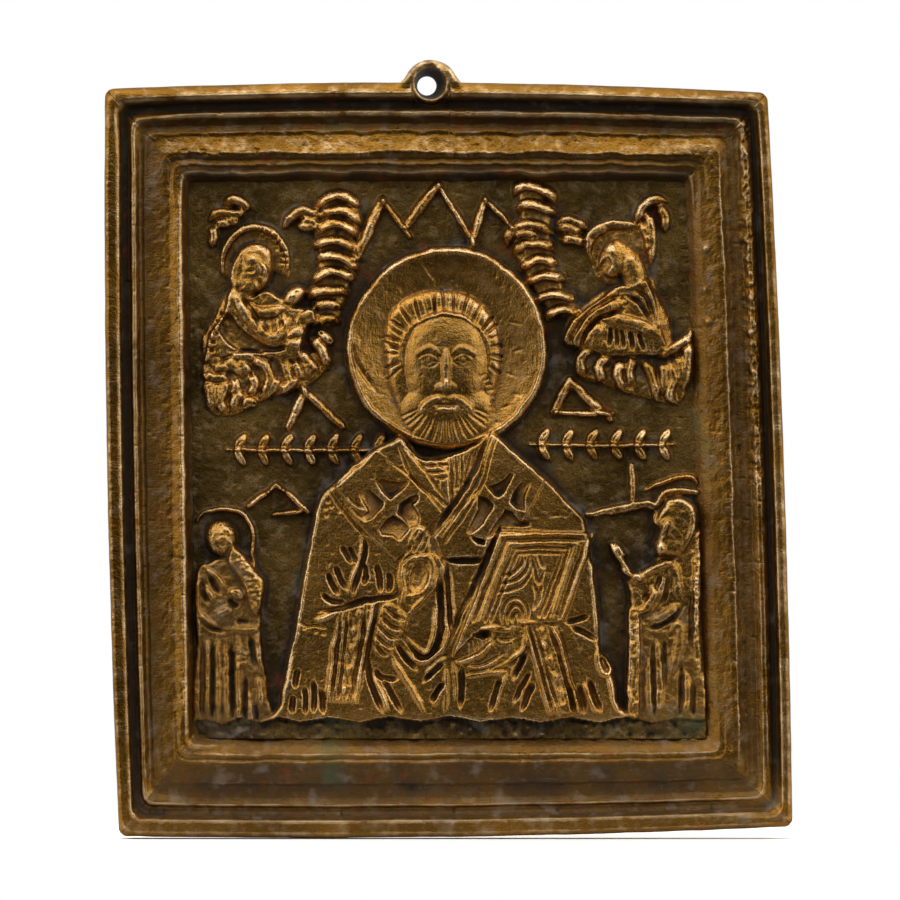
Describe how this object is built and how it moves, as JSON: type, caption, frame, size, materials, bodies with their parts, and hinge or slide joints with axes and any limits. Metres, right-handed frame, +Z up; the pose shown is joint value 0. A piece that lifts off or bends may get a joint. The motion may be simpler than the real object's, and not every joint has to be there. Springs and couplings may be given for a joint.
{
  "type": "bronze icon",
  "caption": "Small upright cast bronze icon plaque with a moulded frame, a pierced hanging lug at the top and figures in low relief on the field.",
  "frame": {"origin": "centre of the flat back face", "axes": "+Z up the icon, +X to the viewer's right, +Y out of the back face; the relief faces -Y"},
  "size_m": [0.0617, 0.004, 0.0697],
  "materials": {
    "ground_bronze": "dark brown patina left in the recessed ground of the casting",
    "frame_bronze": "worn cast bronze, brighter along the edges of the moulding",
    "relief_bronze": "cast bronze relief rubbed golden on its high parts"
  },
  "bodies": {
    "root": {"back_plate": "ground_bronze", "blessing_hand": "relief_bronze", "book_hand": "relief_bronze", "canopy_right": "relief_bronze", "cloud_column_left": "relief_bronze", "cloud_column_right": "relief_bronze", "cloud_knot_left": "relief_bronze", "cloud_knot_right": "relief_bronze", "cloud_left": "relief_bronze", "cloud_right": "relief_bronze", "cloud_wisp_left": "relief_bronze", "cloud_wisp_right": "relief_bronze", "cuff_left": "relief_bronze", "cuff_right": "relief_bronze", "frame_rail_bottom": "frame_bronze", "frame_rail_left": "frame_bronze", "frame_rail_right": "frame_bronze", "frame_rail_top": "frame_bronze", "gable_left": "relief_bronze", "gospel_book": "relief_bronze", "ground_strip": "ground_bronze", "halo": "relief_bronze", "hanging_lug": "frame_bronze", "head": "relief_bronze", "lower_left_figure": "relief_bronze", "lower_left_halo": "relief_bronze", "lower_right_figure": "relief_bronze", "lower_right_scroll": "relief_bronze", "ornament_left": "relief_bronze", "ornament_right": "relief_bronze", "peak_left": "relief_bronze", "peak_middle": "relief_bronze", "peak_right": "relief_bronze", "robe": "relief_bronze", "roof_left": "relief_bronze", "roof_right": "relief_bronze", "stole_left": "relief_bronze", "stole_right": "relief_bronze", "upper_left_child": "relief_bronze", "upper_left_figure": "relief_bronze", "upper_left_halo": "relief_bronze", "upper_right_figure": "relief_bronze", "upper_right_halo": "relief_bronze"}
  },
  "joints": []
}
